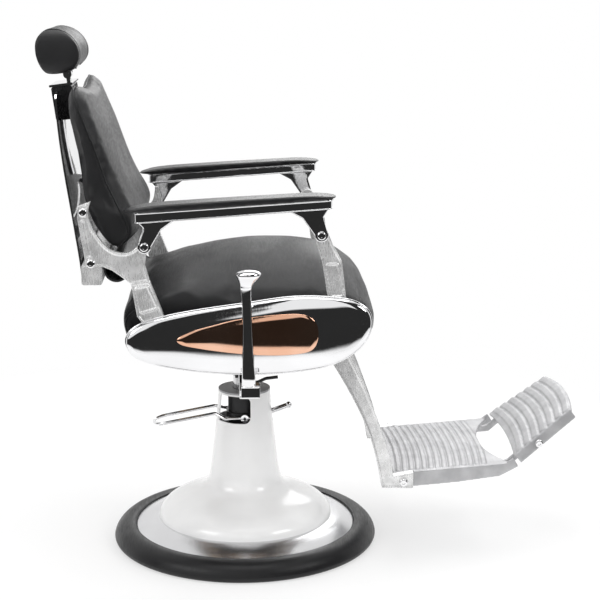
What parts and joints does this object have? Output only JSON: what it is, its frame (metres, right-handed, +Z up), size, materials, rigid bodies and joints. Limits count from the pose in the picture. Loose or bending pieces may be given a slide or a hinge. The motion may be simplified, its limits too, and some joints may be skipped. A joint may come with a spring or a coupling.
{
  "type": "hydraulic barber chair",
  "caption": "Barber chair on a round hydraulic pump base: swivelling seat, reclining back with linked arms and leg rest, height-set headrest and ribbed footrest.",
  "frame": {"origin": "centre of the base's flat underside, on the floor", "axes": "+Z up along the column, the sitter faces -Y, +X is the sitter's left"},
  "size_m": [0.6945, 1.1698, 1.164],
  "materials": {
    "chrome": "polished chrome plate",
    "cast_metal": "polished cast aluminium with a fine grain",
    "ribbed_metal": "satin cast aluminium",
    "leather": "black vinyl leather, fine grain, semi-gloss",
    "arm_leather": "smooth black arm pad, semi-gloss",
    "white_paint": "gloss white enamel",
    "rubber": "black rubber, satin",
    "copper": "polished rose copper",
    "black_plastic": "black moulded plastic",
    "grey_plastic": "grey cover disc",
    "steel": "machined steel",
    "black_steel": "black painted steel",
    "bronze": "bronze bush",
    "board": "plywood"
  },
  "bodies": {
    "base": {"floor_plate": "black_steel", "rubber_rim": "rubber", "base_dome": "chrome", "column_cover": "white_paint", "cover_cap": "grey_plastic", "pump_cylinder": "black_steel", "guide_bush": "bronze", "cylinder_bolts": "steel", "pedal_collar": "black_steel"},
    "pedal": {"pedal_loop": "chrome", "pedal_rod": "chrome"},
    "ram": {"ram_tube": "steel", "ram_piston": "steel", "thrust_collar": "steel"},
    "seat": {"swivel_hub": "black_steel", "seat_frame": "black_steel", "seat_board": "board", "seat_cushion": "leather", "side_panel_right": "chrome", "side_panel_left": "chrome", "inlay_right": "copper", "inlay_left": "copper", "side_frame_right": "black_steel", "side_frame_left": "black_steel", "post_pivot_pins": "steel", "leg_shaft": "steel", "lever_bracket": "black_steel"},
    "lever": {"lever_arm": "chrome", "lever_upright": "chrome", "lever_knob": "chrome", "lever_link": "black_steel"},
    "backrest": {"back_casting_right": "cast_metal", "back_casting_left": "cast_metal", "rear_post_right": "cast_metal", "rear_post_left": "cast_metal", "back_plate": "chrome", "back_base_bar": "cast_metal", "back_cross_tube": "black_steel", "backrest_cushion": "leather", "back_bolts": "chrome", "headrest_holder": "black_plastic", "holder_cap": "chrome"},
    "headrest_slider": {"headrest_post": "chrome"},
    "headrest": {"headrest_yoke": "chrome", "headrest_pad": "leather"},
    "front_post_right": {"front_post_right": "cast_metal"},
    "front_post_left": {"front_post_left": "cast_metal"},
    "armrest_right": {"arm_tray_right": "chrome", "arm_pad_right": "arm_leather", "arm_brackets_right": "chrome", "arm_bolt_right": "chrome"},
    "armrest_left": {"arm_tray_left": "chrome", "arm_pad_left": "arm_leather", "arm_brackets_left": "chrome", "arm_bolt_left": "chrome"},
    "legrest": {"leg_right": "cast_metal", "leg_left": "cast_metal", "foot_plate": "ribbed_metal", "foot_bolts": "chrome"},
    "toe_board": {"toe_plate": "ribbed_metal"}
  },
  "joints": [
    {"name": "pump_lift", "type": "slide", "parent": "base", "child": "ram", "axis": [0, 0, 1], "range_m": [-0.03, 0.13]},
    {"name": "pedal_rock", "type": "hinge", "parent": "base", "child": "pedal", "pos_m": [0, 0, 0.292], "axis": [-1, 0, 0], "range_deg": [-6, 5]},
    {"name": "seat_swivel", "type": "hinge", "parent": "ram", "child": "seat", "pos_m": [0, 0, 0.448], "axis": [0, 0, 1], "continuous": true},
    {"name": "lever_swing", "type": "hinge", "parent": "seat", "child": "lever", "pos_m": [-0.114, 0, 0.422], "axis": [0, -1, 0], "range_deg": [0, 35]},
    {"name": "back_recline", "type": "hinge", "parent": "seat", "child": "backrest", "pos_m": [0, 0.178, 0.556], "axis": [-1, 0, 0], "range_deg": [0, 40]},
    {"name": "post_swing_right", "type": "hinge", "parent": "seat", "child": "front_post_right", "pos_m": [-0.279, -0.1816, 0.5768], "axis": [-1, 0, 0], "range_deg": [0, 40]},
    {"name": "post_swing_left", "type": "hinge", "parent": "seat", "child": "front_post_left", "pos_m": [0.279, -0.1816, 0.5768], "axis": [-1, 0, 0], "range_deg": [0, 40]},
    {"name": "arm_level_right", "type": "hinge", "parent": "backrest", "child": "armrest_right", "pos_m": [-0.293, 0.203, 0.731], "axis": [-1, 0, 0], "range_deg": [-40, 0]},
    {"name": "arm_level_left", "type": "hinge", "parent": "backrest", "child": "armrest_left", "pos_m": [0.293, 0.203, 0.731], "axis": [-1, 0, 0], "range_deg": [-40, 0]},
    {"name": "headrest_lift", "type": "slide", "parent": "backrest", "child": "headrest_slider", "axis": [0, 0.1271, 0.9919], "range_m": [0, 0.12]},
    {"name": "headrest_tilt", "type": "hinge", "parent": "headrest_slider", "child": "headrest", "pos_m": [0, 0.37512, 1.05955], "axis": [-1, 0, 0], "range_deg": [-20, 35]},
    {"name": "leg_lift", "type": "hinge", "parent": "seat", "child": "legrest", "pos_m": [0, -0.195, 0.482], "axis": [-1, 0, 0], "range_deg": [0, 34]},
    {"name": "toe_flip", "type": "hinge", "parent": "legrest", "child": "toe_board", "pos_m": [0, -0.6467, 0.2597], "axis": [-1, 0, 0], "range_deg": [-100, 0]}
  ],
  "couplings": [
    {"joint": "post_swing_right", "follows": "back_recline", "ratio": 1},
    {"joint": "post_swing_left", "follows": "back_recline", "ratio": 1},
    {"joint": "arm_level_right", "follows": "back_recline", "ratio": -1},
    {"joint": "arm_level_left", "follows": "back_recline", "ratio": -1},
    {"joint": "leg_lift", "follows": "back_recline", "ratio": 0.85}
  ]
}
